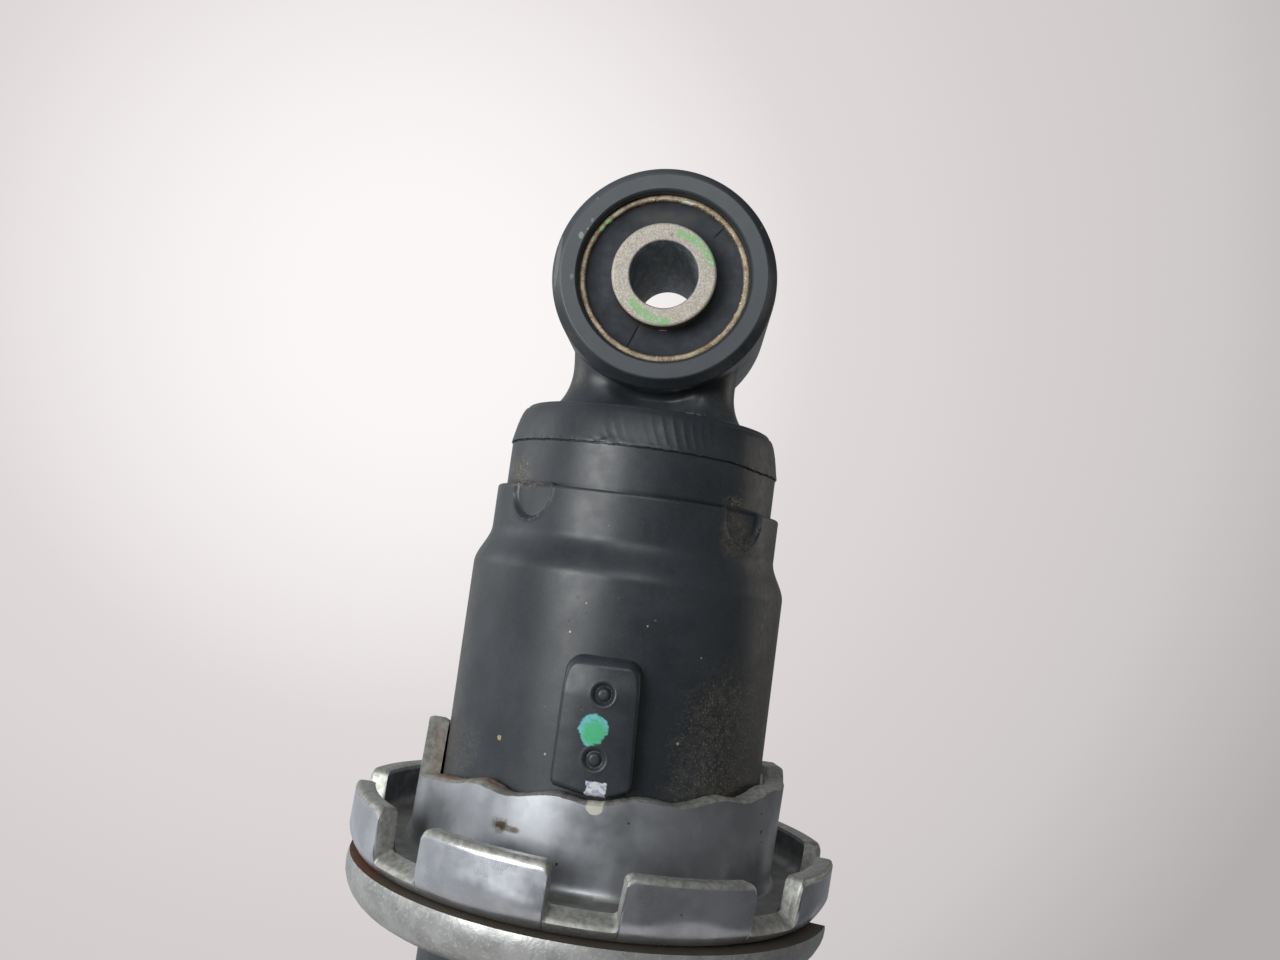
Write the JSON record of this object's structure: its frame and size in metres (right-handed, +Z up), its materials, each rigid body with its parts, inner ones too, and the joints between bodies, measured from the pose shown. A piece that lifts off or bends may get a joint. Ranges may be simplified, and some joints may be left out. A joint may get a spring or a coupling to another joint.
{
  "type": "motorcycle rear shock absorber",
  "caption": "Coil-over rear damper with a rubber-bushed upper eye, stepped cam preload collar with spanner notches, ground coil spring and forked lower mount.",
  "frame": {"origin": "centre of the upper bolt bore", "axes": "+Z up along the damper's axis towards the eye, +Y along the upper bolt"},
  "size_m": [0.0824, 0.0824, 0.343],
  "materials": {
    "black_paint": "satin blue-black paint with dust specks and brown grime",
    "zinc_plate": "satin blue-bright zinc plating, brown rust along the cut edges",
    "silver_paint": "slightly textured silver paint, bare rusty ground faces",
    "sintered_sleeve": "fine-grained beige-grey steel with traces of green marking paint",
    "rusty_sleeve": "dull steel with light rust",
    "black_rubber": "matt moulded rubber",
    "hard_chrome": "polished hard chrome",
    "plain_steel": "oiled plain steel",
    "sintered_iron": "sintered iron",
    "aluminium": "turned",
    "bush_bronze": "plain bearing bronze",
    "bearing_plastic": "filled bearing plastic"
  },
  "bodies": {
    "damper": {"eye_head": "black_paint", "bush_outer_sleeve": "rusty_sleeve", "bush_rubber": "black_rubber", "head_o_ring": "black_rubber", "damper_tube": "black_paint", "cam_stop_front": "black_paint", "cam_stop_rear": "black_paint", "rod_guide": "aluminium", "guide_o_ring": "black_rubber", "guide_bush": "bush_bronze", "oil_seal": "black_rubber", "retaining_ring": "plain_steel", "dust_cap": "black_paint"},
    "bush_sleeve": {"bush_inner_sleeve": "sintered_sleeve"},
    "gas_piston": {"floating_piston": "aluminium", "floating_piston_ring": "black_rubber"},
    "rod": {"piston_rod": "hard_chrome", "piston_nut": "plain_steel", "compression_shims": "plain_steel", "damper_piston": "sintered_iron", "piston_band": "bearing_plastic", "rebound_shims": "plain_steel", "top_out_washer": "plain_steel", "top_out_rubber": "black_rubber", "bump_rubber": "black_rubber", "bump_washer": "plain_steel", "lock_nut": "zinc_plate", "lower_spring_seat": "black_paint", "lower_clevis": "black_paint"},
    "spring": {"coil_spring": "silver_paint"},
    "collar": {"preload_collar": "zinc_plate"}
  },
  "joints": [
    {"name": "damper_slide", "type": "slide", "parent": "damper", "child": "rod", "axis": [0, 0, 1], "range_m": [0, 0.05], "stiffness_N_per_m": 125000, "deforming": ["coil_spring"]},
    {"name": "gas_piston_slide", "type": "slide", "parent": "damper", "child": "gas_piston", "axis": [0, 0, 1], "range_m": [0, 0.00395]},
    {"name": "bush_twist", "type": "hinge", "parent": "damper", "child": "bush_sleeve", "pos_m": [0, 0, 0], "axis": [0, 1, 0], "range_deg": [-10, 10], "stiffness_Nm_per_rad": 30},
    {"name": "preload_lift", "type": "slide", "parent": "damper", "child": "spring", "axis": [0, 0, 1], "range_m": [-0.003, 0.002]},
    {"name": "preload_turn", "type": "hinge", "parent": "spring", "child": "collar", "pos_m": [0, 0, -0.085], "axis": [0, 0, 1], "range_deg": [-81.05, 54.05]}
  ],
  "couplings": [
    {"joint": "gas_piston_slide", "follows": "damper_slide", "ratio": 0.0785},
    {"joint": "preload_turn", "follows": "preload_lift", "rad_per_m": 471.24}
  ]
}
